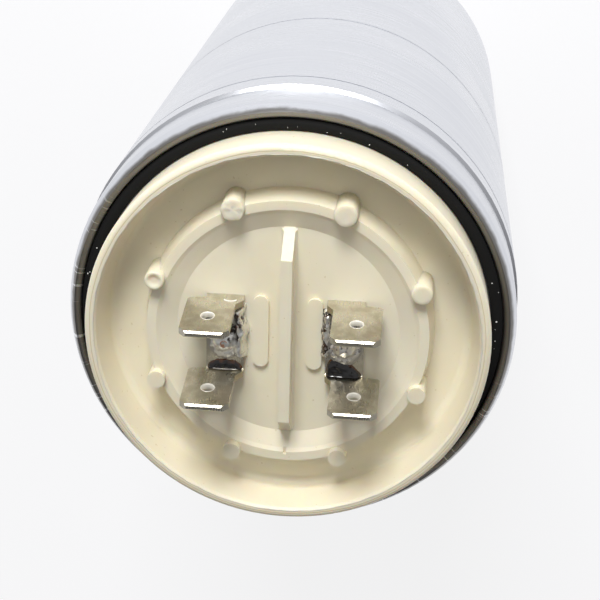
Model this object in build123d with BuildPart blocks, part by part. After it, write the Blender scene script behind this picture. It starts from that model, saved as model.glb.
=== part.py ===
from build123d import *
import math
import os

# Motor run capacitor standing on its flat base, terminals up.
# Millimetres. Origin at the middle of the base, Z along the can's axis,
# Y along the rib of the terminal cap, X across the rib.

# ---- Can -------------------------------------------------------------
can_diameter = 60.0
can_height = 120.0             # base to the crest of the rolled mouth
can_wall = 0.8
can_base_thickness = 1.5
can_base_radius = 2.5          # rounded outer corner of the base
mouth_reduction = 0.35         # the crimped mouth is a little narrower, per side
crimp_line_below_crest = 8.3   # rolled line below the crimped mouth
crimp_line_depth = 0.7
crimp_ledge = 0.35             # inward bump behind the line, carries the cap
lip_reach = 1.9                # how far the rolled lip reaches in over the gasket
lip_thickness = 0.95
lip_turn_down = 0.35           # the lip's end bites this far into the gasket
lip_end_width = 0.35
lip_end_slope = 0.2
lip_corner_radius = 0.4
scribe_line_depth = 0.12       # fine lines turned into the can wall
scribe_lines_below_crest = (13.1, 50.2)
scribe_line_width = 0.35

can_radius = can_diameter / 2
bore_radius = can_radius - can_wall
mouth_radius = can_radius - mouth_reduction
mouth_bore_radius = mouth_radius - can_wall
ledge_radius = mouth_bore_radius - crimp_ledge
crimp_line_z = can_height - crimp_line_below_crest
lip_radius = mouth_radius - lip_reach
lip_underside_z = can_height - lip_thickness
lip_end_z = lip_underside_z - lip_turn_down
lip_corner_x = mouth_bore_radius - lip_corner_radius

# ---- Terminal cap ----------------------------------------------------
cap_rim_height = 5.4           # rim front above the can's crest
cap_skirt_height = 5.7         # skirt from the can's ledge up to the gasket
cap_skirt_wall = 2.2
cap_rim_radius = 26.15         # outer edge of the rim at its front
cap_rim_foot_radius = 26.05
cap_lip_width = 1.5
cap_trough_depth = 5.8         # below the rim front
cap_trough_outer_radius = 23.8
ring_outer_radius = 18.3
ring_foot_radius = 19.0
ring_top_depth = 2.1
ring_inner_radius = 16.6
ring_chamfer_radius = 17.1
recess_floor_depth = 3.3
recess_floor_radius = 14.5
cap_floor_thickness = 2.0
trough_floor_thickness = 3.4
post_count = 8
post_radius = 1.25
post_circle_radius = 18.45
post_tip_depth = 1.1
rib_width = 1.45
rib_foot_width = 2.1
rib_crest_half_length = 11.3
rib_above_rim = 0.5
pad_length = 10.0
pad_width = 2.0
pad_height = 0.5
pad_from_centre = 3.5
gate_notch_width = 0.45
gate_notch_depth = 0.35

cap_clearance = 0.05
flange_radius = mouth_bore_radius - cap_clearance
flange_bottom_z = crimp_line_z + 0.2
flange_top_z = flange_bottom_z + cap_skirt_height
rim_front_z = can_height + cap_rim_height
trough_z = rim_front_z - cap_trough_depth
ring_top_z = rim_front_z - ring_top_depth
recess_z = rim_front_z - recess_floor_depth
cap_underside_z = recess_z - cap_floor_thickness
trough_underside_z = trough_z - trough_floor_thickness
rib_crest_z = rim_front_z + rib_above_rim
post_tip_z = rim_front_z - post_tip_depth
under_recess_radius = recess_floor_radius + 0.6

# ---- Gasket ----------------------------------------------------------
gasket_clearance = 0.04
gasket_fit = 0.02
gasket_proud = 0.5             # bulge of the rubber in front of the lip's underside
gasket_inner_radius = cap_rim_foot_radius + 0.15
gasket_top_z = lip_underside_z + gasket_proud

# ---- Terminals -------------------------------------------------------
blade_width = 6.3
blade_thickness = 0.8
blade_length = 8.0             # from shoulder to tip
blade_lean = 9.0               # degrees, both blades lean towards -Y
blade_tip_cut = 0.9
blade_tip_bevel = 0.2
blade_hole_radius = 0.9
blade_hole_from_tip = 4.0
neck_height = 1.3              # floor to shoulder
strip_width = 4.9
strip_from_centre = 7.8        # middle of the strip from the middle of the pair
blade_from_centre = 9.4
pair_offset_x = -0.3           # the pair sits a little to one side of the rib
upper_root_y = 4.0
lower_root_y = -6.1
bend_radius = 0.45
eyelet_y = -1.4

strip_top_z = recess_z + blade_thickness
shoulder_z = recess_z + neck_height
tip_z = shoulder_z + blade_length * math.cos(math.radians(blade_lean))
lean_slope = math.tan(math.radians(blade_lean))

# ---- Rivets, leads and solder ----------------------------------------
rivet_shank_radius = 1.6
rivet_bore_radius = 0.75
rivet_flange_radius = 2.3
rivet_flange_thickness = 0.35
rivet_foot_radius = 2.6
rivet_foot_thickness = 0.6
rivet_hole_clearance = 0.05
wire_radius = 0.5
wire_above_strip = 1.3
solder_height = 1.0
solder_run_length = 6.9        # along the strip's inner edge
solder_run_width = 1.6
solder_run_y = -0.1
solder_edge_gap = 0.05
solder_pool_size = (2.2, 1.5)  # half width and half length of the pool on the rivet
solder_fit = 0.02
sleeve_wall = 0.5
sleeve_clearance = 0.05

# ---- Winding and filling ---------------------------------------------
cup_floor_thickness = 1.2
cup_wall = 0.9
cup_height = 11.5
cup_clearance = 0.1
joint_height = 1.5
spray_thickness = 1.0
core_bore_radius = 4.0
core_outer_radius = 5.0
core_above_winding = 3.0
winding_radius = 27.0
wrap_thickness = 0.8
wrap_above_winding = 2.0
joint_radius = 2.0
resin_cover = 2.0
disc_thickness = 1.2
disc_clearance = 0.5
air_space = 1.5                # between the disc and the foot of the cap's skirt
lower_joint_x = 8.0

cup_floor_z = can_base_thickness
cup_inside_z = cup_floor_z + cup_floor_thickness
lower_spray_z = cup_inside_z + joint_height
winding_bottom_z = lower_spray_z + spray_thickness
disc_top_z = flange_bottom_z - air_space
disc_bottom_z = disc_top_z - disc_thickness
wrap_top_z = disc_bottom_z - resin_cover
upper_spray_top_z = wrap_top_z - wrap_above_winding
winding_top_z = upper_spray_top_z - spray_thickness
core_top_z = disc_bottom_z
wrap_radius = winding_radius + wrap_thickness
cup_radius = bore_radius - cup_clearance
wire_top_z = strip_top_z + wire_above_strip
rivet_bottom_z = cap_underside_z - rivet_foot_thickness
sleeve_radius = wire_radius + sleeve_clearance + sleeve_wall
wire_hole_radius = sleeve_radius + sleeve_clearance

os.makedirs("parts", exist_ok=True)


def ring_between(outer, inner, bottom, top):
    """A plain ring on the Z axis."""
    with BuildPart() as ring:
        with Locations((0, 0, bottom)):
            Cylinder(outer, top - bottom, align=(Align.CENTER, Align.CENTER, Align.MIN))
            Cylinder(inner, top - bottom, align=(Align.CENTER, Align.CENTER, Align.MIN),
                     mode=Mode.SUBTRACT)
    return ring.part


def side_x(side, distance):
    """X of something set a distance from the middle of the terminal pair."""
    return pair_offset_x + side * distance


# ---- Can: impact-extruded cup with its mouth rolled in over the gasket ----
with BuildPart() as can:
    with BuildSketch(Plane.XZ):
        with BuildLine():
            crest_radius = mouth_radius - lip_reach / 2
            roll_start_z = can_height - 2.4
            Polyline((0, 0), (can_radius - can_base_radius, 0))
            RadiusArc((can_radius - can_base_radius, 0), (can_radius, can_base_radius),
                      -can_base_radius)
            Polyline((can_radius, can_base_radius), (can_radius, crimp_line_z - 0.45),
                     (can_radius - crimp_line_depth, crimp_line_z),
                     (mouth_radius, crimp_line_z + 0.3), (mouth_radius, roll_start_z))
            ThreePointArc((mouth_radius, roll_start_z),
                          (mouth_radius - 0.34, can_height - 0.86),
                          (crest_radius, can_height))
            ThreePointArc((crest_radius, can_height), (lip_radius + 0.3, can_height - 0.3),
                          (lip_radius, lip_underside_z))
            Polyline((lip_radius, lip_underside_z), (lip_radius, lip_end_z),
                     (lip_radius + lip_end_width, lip_end_z),
                     (lip_radius + lip_end_width + lip_end_slope, lip_underside_z),
                     (lip_corner_x, lip_underside_z))
            RadiusArc((lip_corner_x, lip_underside_z),
                      (mouth_bore_radius, lip_underside_z - lip_corner_radius),
                      lip_corner_radius)
            Polyline((mouth_bore_radius, lip_underside_z - lip_corner_radius),
                     (mouth_bore_radius, flange_bottom_z), (ledge_radius, flange_bottom_z),
                     (ledge_radius, crimp_line_z - 0.6), (bore_radius, crimp_line_z - 1.4),
                     (bore_radius, can_base_thickness), (0, can_base_thickness), (0, 0))
        make_face()
    revolve(axis=Axis.Z)
    for below in scribe_lines_below_crest:
        with BuildSketch(Plane.XZ):
            with Locations((can_radius, can_height - below)):
                Rectangle(2 * scribe_line_depth, scribe_line_width)
        revolve(axis=Axis.Z, mode=Mode.SUBTRACT)
can.part.label = "can"
export_step(can.part, "parts/can.step")

# ---- Gasket: rubber ring squeezed between the cap's flange and the lip ----
with BuildPart() as gasket_ring:
    with BuildSketch(Plane.XZ):
        with BuildLine():
            bulge_radius = lip_radius - gasket_clearance
            lip_end_x = lip_radius + lip_end_width + gasket_fit
            Polyline((gasket_inner_radius, flange_top_z), (lip_corner_x, flange_top_z),
                     (lip_corner_x, lip_underside_z - gasket_fit),
                     (lip_end_x + lip_end_slope, lip_underside_z - gasket_fit),
                     (lip_end_x, lip_end_z - gasket_fit), (bulge_radius, lip_end_z - gasket_fit),
                     (bulge_radius, gasket_top_z - 0.25))
            ThreePointArc((bulge_radius, gasket_top_z - 0.25),
                          ((bulge_radius + gasket_inner_radius) / 2, gasket_top_z),
                          (gasket_inner_radius, gasket_top_z - 0.25))
            Line((gasket_inner_radius, gasket_top_z - 0.25), (gasket_inner_radius, flange_top_z))
        make_face()
    revolve(axis=Axis.Z)
gasket_ring.part.label = "gasket_ring"
export_step(gasket_ring.part, "parts/gasket_ring.step")

# ---- Terminal cap: moulded disc with rim, trough, ring, posts, rib, pads ----
with BuildPart() as terminal_cap:
    with BuildSketch(Plane.XZ):
        with BuildLine():
            rim_inner = cap_rim_radius - cap_lip_width
            Polyline((0, cap_underside_z), (under_recess_radius, cap_underside_z),
                     (under_recess_radius, trough_underside_z),
                     (flange_radius - cap_skirt_wall, trough_underside_z),
                     (flange_radius - cap_skirt_wall, flange_bottom_z),
                     (flange_radius, flange_bottom_z),
                     (flange_radius, flange_top_z), (cap_rim_foot_radius, flange_top_z),
                     (cap_rim_radius, rim_front_z - 0.8))
            ThreePointArc((cap_rim_radius, rim_front_z - 0.8),
                          (cap_rim_radius - 0.23, rim_front_z - 0.22),
                          (cap_rim_radius - 0.8, rim_front_z))
            Polyline((cap_rim_radius - 0.8, rim_front_z), (rim_inner + 0.3, rim_front_z),
                     (rim_inner, rim_front_z - 0.4),
                     (cap_trough_outer_radius + 0.1, trough_z + 1.2))
            ThreePointArc((cap_trough_outer_radius + 0.1, trough_z + 1.2),
                          (cap_trough_outer_radius - 0.2, trough_z + 0.35),
                          (cap_trough_outer_radius - 1.0, trough_z))
            Polyline((cap_trough_outer_radius - 1.0, trough_z), (ring_foot_radius, trough_z),
                     (ring_outer_radius, ring_top_z), (ring_chamfer_radius, ring_top_z),
                     (ring_inner_radius, ring_top_z - 0.3),
                     (recess_floor_radius, recess_z), (0, recess_z), (0, cap_underside_z))
        make_face()
    revolve(axis=Axis.Z)
    with BuildSketch(Plane.XY.offset(trough_z)):
        with PolarLocations(post_circle_radius, post_count, start_angle=180 / post_count):
            Circle(post_radius)
    extrude(amount=post_tip_z - trough_z, taper=1)
    with BuildSketch(Plane.YZ):
        Polygon((-recess_floor_radius, recess_z), (recess_floor_radius, recess_z),
                (rib_crest_half_length, rib_crest_z), (-rib_crest_half_length, rib_crest_z),
                align=None)
    extrude(amount=rib_width / 2, both=True)
    with BuildSketch(Plane.XY.offset(recess_z)):
        Rectangle(rib_foot_width, 2 * recess_floor_radius - 0.4)
    extrude(amount=0.35, taper=40)
    with BuildSketch(Plane.XY.offset(recess_z)):
        with Locations((-pad_from_centre, 0), (pad_from_centre, 0)):
            SlotOverall(pad_length, pad_width, rotation=90)
    extrude(amount=pad_height)
    with Locations((0, -(ring_inner_radius + ring_chamfer_radius) / 2, ring_top_z)):
        Box(gate_notch_width, 1.2, 2 * gate_notch_depth, mode=Mode.SUBTRACT)
    with BuildSketch(Plane.XY.offset(cap_underside_z)):
        with Locations((side_x(-1, strip_from_centre), eyelet_y),
                       (side_x(1, strip_from_centre), eyelet_y)):
            Circle(rivet_shank_radius + rivet_hole_clearance)
    extrude(amount=cap_floor_thickness, mode=Mode.SUBTRACT)
terminal_cap.part.label = "terminal_cap"
export_step(terminal_cap.part, "parts/terminal_cap.step")


# ---- Terminals: one stamped strip with a blade bent up at each end ----
def build_terminal(side):
    """Strip on the cap's floor with two leaning 6.3 mm blades, side -1 left, +1 right."""
    rise = tip_z - recess_z
    shift = lean_slope * rise
    back = blade_thickness / math.cos(math.radians(blade_lean))
    blade_middle = side_x(side, blade_from_centre)
    strip_middle = side_x(side, strip_from_centre)
    half_blade = blade_width / 2
    outer_blade = blade_middle + side * half_blade
    inner_blade = blade_middle - side * half_blade
    outer_strip = strip_middle + side * strip_width / 2
    inner_strip = strip_middle - side * strip_width / 2
    with BuildPart() as terminal:
        with BuildSketch(Plane.YZ):
            band = Polygon((upper_root_y + back, recess_z), (upper_root_y + back - shift, tip_z),
                           (upper_root_y - shift, tip_z),
                           (upper_root_y - lean_slope * blade_thickness, strip_top_z),
                           (lower_root_y + back - lean_slope * blade_thickness, strip_top_z),
                           (lower_root_y + back - shift, tip_z), (lower_root_y - shift, tip_z),
                           (lower_root_y, recess_z), align=None)
            inner_bends = [v for v in band.vertices()
                           if abs(v.Y - strip_top_z) < 1e-6 and v.X < upper_root_y]
            outer_bends = [v for v in band.vertices() if abs(v.Y - recess_z) < 1e-6]
            fillet(inner_bends, bend_radius)
            fillet(outer_bends, bend_radius + blade_thickness - 0.1)
        extrude(amount=40, both=True)
        with BuildSketch(Plane.XZ):
            Polygon((outer_strip, recess_z), (outer_strip, shoulder_z - 0.3),
                    (outer_blade - side * 0.3, shoulder_z - 0.1), (outer_blade, shoulder_z + 0.2),
                    (outer_blade, tip_z - blade_tip_cut),
                    (outer_blade - side * blade_tip_cut, tip_z),
                    (inner_blade + side * blade_tip_cut, tip_z),
                    (inner_blade, tip_z - blade_tip_cut), (inner_blade, shoulder_z + 1.0),
                    (inner_strip, shoulder_z), (inner_strip, recess_z), align=None)
        extrude(amount=40, both=True, mode=Mode.INTERSECT)
        hole_z = tip_z - blade_hole_from_tip * math.cos(math.radians(blade_lean))
        with BuildSketch(Plane.XZ):
            with Locations((blade_middle, hole_z)):
                Circle(blade_hole_radius)
        extrude(amount=40, both=True, mode=Mode.SUBTRACT)
        with BuildSketch(Plane.XY.offset(recess_z)):
            with Locations((strip_middle, eyelet_y)):
                Circle(rivet_shank_radius + rivet_hole_clearance)
        extrude(amount=blade_thickness, mode=Mode.SUBTRACT)
        tip_edges = [e for e in terminal.edges().filter_by(Axis.X)
                     if abs(e.center().Z - tip_z) < 0.01]
        chamfer(tip_edges, blade_tip_bevel)
    return terminal.part


# ---- Rivets: tubular, clamp each strip to the cap ----
def build_rivet(side):
    """Tubular rivet with a flange on the strip and a rolled foot below the cap."""
    with BuildPart() as rivet:
        with Locations((side_x(side, strip_from_centre), eyelet_y, rivet_bottom_z)):
            low = (Align.CENTER, Align.CENTER, Align.MIN)
            height = strip_top_z + rivet_flange_thickness - rivet_bottom_z
            Cylinder(rivet_shank_radius, height, align=low)
            Cylinder(rivet_foot_radius, rivet_foot_thickness, align=low)
        with Locations((side_x(side, strip_from_centre), eyelet_y, strip_top_z)):
            Cylinder(rivet_flange_radius, rivet_flange_thickness, align=low)
        with Locations((side_x(side, strip_from_centre), eyelet_y, rivet_bottom_z)):
            Cylinder(rivet_bore_radius, height, align=low, mode=Mode.SUBTRACT)
    return rivet.part


# ---- Solder on the strips ----
def build_solder(side):
    """Solder run along the strip's inner edge, spreading over the rivet's flange."""
    strip_middle = side_x(side, strip_from_centre)
    inner_edge = strip_middle - side * strip_width / 2
    with BuildPart() as solder:
        with BuildSketch(Plane.XY.offset(strip_top_z)):
            with Locations((inner_edge + side * (solder_run_width / 2 + solder_edge_gap),
                            solder_run_y)):
                SlotOverall(solder_run_length, solder_run_width, rotation=90)
        extrude(amount=solder_height)
        fillet(solder.edges().filter_by(Plane.XY).sort_by(Axis.Z)[-4:], 0.5)
        with BuildSketch(Plane.XY.offset(strip_top_z)):
            with Locations((strip_middle, eyelet_y)):
                Ellipse(*solder_pool_size)
        extrude(amount=0.8 * solder_height)
        with Locations((strip_middle, eyelet_y, strip_top_z)):
            Cylinder(rivet_flange_radius + solder_fit, rivet_flange_thickness + solder_fit,
                     align=(Align.CENTER, Align.CENTER, Align.MIN), mode=Mode.SUBTRACT)
            Cylinder(wire_radius + solder_fit, 2 * solder_height,
                     align=(Align.CENTER, Align.CENTER, Align.MIN), mode=Mode.SUBTRACT)
    return solder.part


for side_name, side_sign in (("left", -1), ("right", 1)):
    for piece_name, builder in (("terminal", build_terminal), ("rivet", build_rivet),
                                ("solder", build_solder)):
        piece = builder(side_sign)
        piece.label = f"{side_name}_{piece_name}"
        export_step(piece, f"parts/{side_name}_{piece_name}.step")

# ---- Lead wires and their insulating sleeves ----
left_lead_x = side_x(-1, strip_from_centre)
right_lead_x = side_x(1, strip_from_centre)
left_wire_bottom_z = upper_spray_top_z + 0.2
lower_wire_z = cup_inside_z + joint_height / 2
cross_bottom_z = disc_top_z + 1.2
cross_top_z = rivet_bottom_z - 2.3


def right_lead_line(start_points):
    """Rounded path of the right lead from the given start up to its solder."""
    points = start_points + [(0, 0, cross_bottom_z), (right_lead_x, eyelet_y, cross_top_z)]
    return points


with BuildPart() as left_lead_wire:
    with Locations((left_lead_x, eyelet_y, left_wire_bottom_z)):
        Cylinder(wire_radius, wire_top_z - left_wire_bottom_z,
                 align=(Align.CENTER, Align.CENTER, Align.MIN))
left_lead_wire.part.label = "left_lead_wire"
export_step(left_lead_wire.part, "parts/left_lead_wire.step")

with BuildPart() as left_lead_sleeve:
    with Locations((left_lead_x, eyelet_y, upper_spray_top_z + joint_height)):
        sleeve_length = rivet_bottom_z - 0.3 - upper_spray_top_z - joint_height
        Cylinder(sleeve_radius, sleeve_length, align=(Align.CENTER, Align.CENTER, Align.MIN))
        Cylinder(wire_radius + sleeve_clearance, sleeve_length,
                 align=(Align.CENTER, Align.CENTER, Align.MIN), mode=Mode.SUBTRACT)
left_lead_sleeve.part.label = "left_lead_sleeve"
export_step(left_lead_sleeve.part, "parts/left_lead_sleeve.step")

with BuildPart() as right_lead_wire:
    with BuildLine() as right_wire_path:
        FilletPolyline(*right_lead_line([(lower_joint_x, 0, lower_wire_z), (0, 0, lower_wire_z)]),
                       (right_lead_x, eyelet_y, wire_top_z), radius=1.5)
    with BuildSketch(Plane(origin=(lower_joint_x, 0, lower_wire_z), z_dir=(-1, 0, 0))):
        Circle(wire_radius)
    sweep(path=right_wire_path.line)
right_lead_wire.part.label = "right_lead_wire"
export_step(right_lead_wire.part, "parts/right_lead_wire.step")

with BuildPart() as right_lead_sleeve:
    sleeve_start_z = core_top_z - 6.0
    with BuildLine() as right_sleeve_path:
        FilletPolyline(*right_lead_line([(0, 0, sleeve_start_z)]),
                       (right_lead_x, eyelet_y, rivet_bottom_z - 0.3), radius=1.5)
    with BuildSketch(Plane(origin=(0, 0, sleeve_start_z), z_dir=(0, 0, 1))):
        Circle(sleeve_radius)
        Circle(wire_radius + sleeve_clearance, mode=Mode.SUBTRACT)
    sweep(path=right_sleeve_path.line)
right_lead_sleeve.part.label = "right_lead_sleeve"
export_step(right_lead_sleeve.part, "parts/right_lead_sleeve.step")

# ---- Solder joints of the leads on the end faces of the winding ----
with BuildPart() as upper_lead_joint:
    with Locations((left_lead_x, eyelet_y, upper_spray_top_z)):
        Cone(joint_radius, sleeve_radius, joint_height,
             align=(Align.CENTER, Align.CENTER, Align.MIN))
        Cylinder(wire_radius, joint_height + wire_radius,
                 align=(Align.CENTER, Align.CENTER, Align.MIN), mode=Mode.SUBTRACT)
        Cylinder(joint_radius, 0.2, align=(Align.CENTER, Align.CENTER, Align.MIN))
upper_lead_joint.part.label = "upper_lead_joint"
export_step(upper_lead_joint.part, "parts/upper_lead_joint.step")

with BuildPart() as lower_lead_joint:
    with Locations((lower_joint_x, 0, cup_inside_z)):
        Cylinder(joint_radius, joint_height, align=(Align.CENTER, Align.CENTER, Align.MIN))
    with Locations((lower_joint_x - joint_radius, 0, lower_wire_z)):
        Cylinder(wire_radius, 2 * joint_radius, rotation=(0, 90, 0), mode=Mode.SUBTRACT)
lower_lead_joint.part.label = "lower_lead_joint"
export_step(lower_lead_joint.part, "parts/lower_lead_joint.step")

# ---- Winding, its end faces, core and wrap ----
rings = (
    ("winding_element", winding_radius, core_outer_radius, winding_bottom_z, winding_top_z),
    ("upper_end_spray", winding_radius, core_outer_radius, winding_top_z, upper_spray_top_z),
    ("lower_end_spray", winding_radius, core_outer_radius, lower_spray_z, winding_bottom_z),
    ("core_tube", core_outer_radius, core_bore_radius, lower_spray_z, core_top_z),
    ("winding_wrap", wrap_radius, winding_radius, lower_spray_z, wrap_top_z),
)
for ring_name, outer, inner, bottom, top in rings:
    piece = ring_between(outer, inner, bottom, top)
    piece.label = ring_name
    export_step(piece, f"parts/{ring_name}.step")

# ---- Insulating cup between the winding and the can's base ----
with BuildPart() as base_cup:
    with Locations((0, 0, cup_floor_z)):
        low = (Align.CENTER, Align.CENTER, Align.MIN)
        Cylinder(cup_radius, cup_height, align=low)
    with Locations((0, 0, cup_inside_z)):
        Cylinder(cup_radius - cup_wall, cup_height, align=low, mode=Mode.SUBTRACT)
base_cup.part.label = "base_cup"
export_step(base_cup.part, "parts/base_cup.step")

# ---- Resin around and above the winding ----
with BuildPart() as resin_fill:
    resin_bottom_z = cup_floor_z + cup_height
    with Locations((0, 0, resin_bottom_z)):
        Cylinder(bore_radius, disc_bottom_z - resin_bottom_z, align=low)
        Cylinder(wrap_radius, wrap_top_z - resin_bottom_z, align=low, mode=Mode.SUBTRACT)
    with Locations((0, 0, upper_spray_top_z)):
        Cylinder(winding_radius, wrap_top_z - upper_spray_top_z, align=low)
        Cylinder(core_outer_radius, disc_bottom_z - upper_spray_top_z, align=low,
                 mode=Mode.SUBTRACT)
    with Locations((left_lead_x, eyelet_y, upper_spray_top_z)):
        Cylinder(joint_radius, disc_bottom_z - upper_spray_top_z, align=low, mode=Mode.SUBTRACT)
resin_fill.part.label = "resin_fill"
export_step(resin_fill.part, "parts/resin_fill.step")

# ---- Insulating disc lying on the resin ----
with BuildPart() as top_disc:
    with Locations((0, 0, disc_bottom_z)):
        Cylinder(bore_radius - disc_clearance, disc_thickness, align=low)
    with Locations((0, 0, disc_bottom_z), (left_lead_x, eyelet_y, disc_bottom_z)):
        Cylinder(wire_hole_radius, disc_thickness, align=low, mode=Mode.SUBTRACT)
top_disc.part.label = "top_disc"
export_step(top_disc.part, "parts/top_disc.step")
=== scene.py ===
"""Looks of a motor run capacitor that stands on its base with its terminals up.

The can, seal, moulded cap and stamped terminals come from the CAD frame and are dressed here.
Solder, burnt flux, mould flash, odd posts, hole edges and dust are built here as pieces of their
own.
Lengths in this file are millimetres, which MM turns into Blender's metres. Only the lamp's and the
floor's places are given in metres.
"""

import logging
import math
from dataclasses import dataclass, field
from enum import Enum
from typing import Callable, Optional

import bpy
import numpy as np
from mathutils import Matrix, Vector

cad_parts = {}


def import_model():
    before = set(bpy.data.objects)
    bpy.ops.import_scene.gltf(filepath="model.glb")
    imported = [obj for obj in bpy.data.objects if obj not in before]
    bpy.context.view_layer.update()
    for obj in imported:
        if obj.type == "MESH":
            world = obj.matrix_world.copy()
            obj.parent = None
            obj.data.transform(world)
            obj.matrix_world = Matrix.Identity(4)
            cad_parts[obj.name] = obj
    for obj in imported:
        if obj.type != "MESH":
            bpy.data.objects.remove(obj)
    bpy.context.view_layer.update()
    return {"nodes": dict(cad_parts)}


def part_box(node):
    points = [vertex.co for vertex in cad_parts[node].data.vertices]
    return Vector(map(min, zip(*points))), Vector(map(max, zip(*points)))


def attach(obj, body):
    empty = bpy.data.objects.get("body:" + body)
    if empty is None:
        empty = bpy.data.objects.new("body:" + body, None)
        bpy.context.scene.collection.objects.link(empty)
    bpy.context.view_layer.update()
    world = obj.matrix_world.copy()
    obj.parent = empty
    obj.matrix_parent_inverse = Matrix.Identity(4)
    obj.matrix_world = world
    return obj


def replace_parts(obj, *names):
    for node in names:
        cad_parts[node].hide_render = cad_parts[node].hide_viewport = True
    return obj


LOG = logging.getLogger("capacitor")
MM = 0.001
BODY = "root"


# ---------------------------------------------------------------- helpers
def to_linear(code: str, alpha: float = 1.0) -> tuple[float, float, float, float]:
    """Turns an sRGB hex colour into the linear colour that Blender's sockets hold.

    Args:
        code: Colour as "#rrggbb".
        alpha: Fourth channel.

    Returns:
        Linear red, green, blue and alpha.
    """
    values = [int(code[i:i + 2], 16) / 255 for i in (1, 3, 5)]
    linear = [v / 12.92 if v <= 0.04045 else ((v + 0.055) / 1.055) ** 2.4 for v in values]
    return linear[0], linear[1], linear[2], alpha


def add_node(tree: bpy.types.NodeTree, kind: str, inputs: Optional[dict] = None,
             **settings: object) -> bpy.types.Node:
    """Adds one shader node, sets it up and links it.

    Args:
        tree: Node tree that gets the node.
        kind: Blender's class name of the node.
        inputs: Socket name or index to a value, or to the output socket to link from.
        **settings: Attributes set on the node itself.

    Returns:
        The new node.
    """
    node = tree.nodes.new(kind)
    for name, value in settings.items():
        setattr(node, name, value)
    for key, value in (inputs or {}).items():
        if isinstance(value, bpy.types.NodeSocket):
            tree.links.new(value, node.inputs[key])
        else:
            node.inputs[key].default_value = value
    return node


def mesh_object(name: str, points: np.ndarray, faces: list) -> bpy.types.Object:
    """Makes a smooth mesh object at the origin from points in millimetres.

    Args:
        name: Object name.
        points: Points, one row each, in millimetres.
        faces: Point indices of each face, counter-clockwise from outside.

    Returns:
        The object, linked to the scene and riding the frame's body.
    """
    mesh = bpy.data.meshes.new(name)
    mesh.from_pydata((points * MM).tolist(), [], faces)
    mesh.validate()
    mesh.shade_smooth()
    mesh.update()
    made = bpy.data.objects.new(name, mesh)
    bpy.context.scene.collection.objects.link(made)
    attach(made, BODY)
    return made


def ripple(x: np.ndarray, y: np.ndarray, seed: int, wavelength: float) -> np.ndarray:
    """Smooth uneven height from -1 to 1: a sum of sine waves in seeded random directions.

    Args:
        x: First coordinate, in millimetres.
        y: Second coordinate, in millimetres.
        seed: Seed of the directions and phases.
        wavelength: Longest wavelength, in millimetres.

    Returns:
        Heights, the same shape as x.
    """
    dice = np.random.default_rng(seed)
    total = np.zeros_like(x, dtype=float)
    count = 7
    for _ in range(count):
        turn, phase = dice.uniform(0, 2 * math.pi, 2)
        wave = wavelength * dice.uniform(0.45, 1.0)
        total += np.sin(2 * math.pi * (x * math.cos(turn) + y * math.sin(turn)) / wave + phase)
    return total / count * 1.6


def smooth_step(value: np.ndarray, low: float, high: float) -> np.ndarray:
    """0 below low, 1 above high and an S curve between; low may be the larger one."""
    t = np.clip((value - low) / (high - low), 0, 1)
    return t * t * (3 - 2 * t)


# ---------------------------------------------------------------- sizes
class Side(Enum):
    """Which terminal strip; the value is the sign of its x."""

    LEFT = -1
    RIGHT = 1


@dataclass(frozen=True)
class Sizes:
    """Places of the frame's pieces that the added pieces sit on, in millimetres."""

    rim_front: float
    crest: float
    recess: float
    strip_top: float
    pair_offset: float = -0.3
    strip_from_middle: float = 7.8
    blade_from_middle: float = 9.4
    upper_root: float = 4.0        # inner foot of the upper blade
    lower_root: float = -6.1       # outer foot of the lower blade
    neck: float = 1.3              # from the recess floor to a blade's shoulder
    eyelet: float = -1.4
    blade_length: float = 8.0
    blade_thickness: float = 0.8
    hole_from_tip: float = 4.0
    post_below_rim: float = 1.1    # tips of the posts
    rim_inner: float = 24.65
    post_circle: float = 18.45
    trough_depth: float = 5.8
    rib_above_rim: float = 0.5

    @classmethod
    def from_frame(cls) -> "Sizes":
        """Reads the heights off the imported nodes.

        Returns:
            The sizes.
        """
        cap_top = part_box("terminal_cap")[1].z / MM
        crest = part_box("can")[1].z / MM
        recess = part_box("left_terminal")[0].z / MM
        return cls(rim_front=cap_top - cls.rib_above_rim, crest=crest, recess=recess,
                   strip_top=recess + cls.blade_thickness)

    @property
    def shoulder(self) -> float:
        """Height of the blades' shoulders."""
        return self.recess + self.neck

    def strip_middle(self, side: Side) -> float:
        """X of the middle of a strip."""
        return self.pair_offset + side.value * self.strip_from_middle

    def blade_middle(self, side: Side) -> float:
        """X of the middle of a blade."""
        return self.pair_offset + side.value * self.blade_from_middle

    def post_centre(self, degrees: float) -> tuple[float, float]:
        """X and y of a post's centre, by its angle round the cap."""
        turn = math.radians(degrees)
        return self.post_circle * math.cos(turn), self.post_circle * math.sin(turn)


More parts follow.
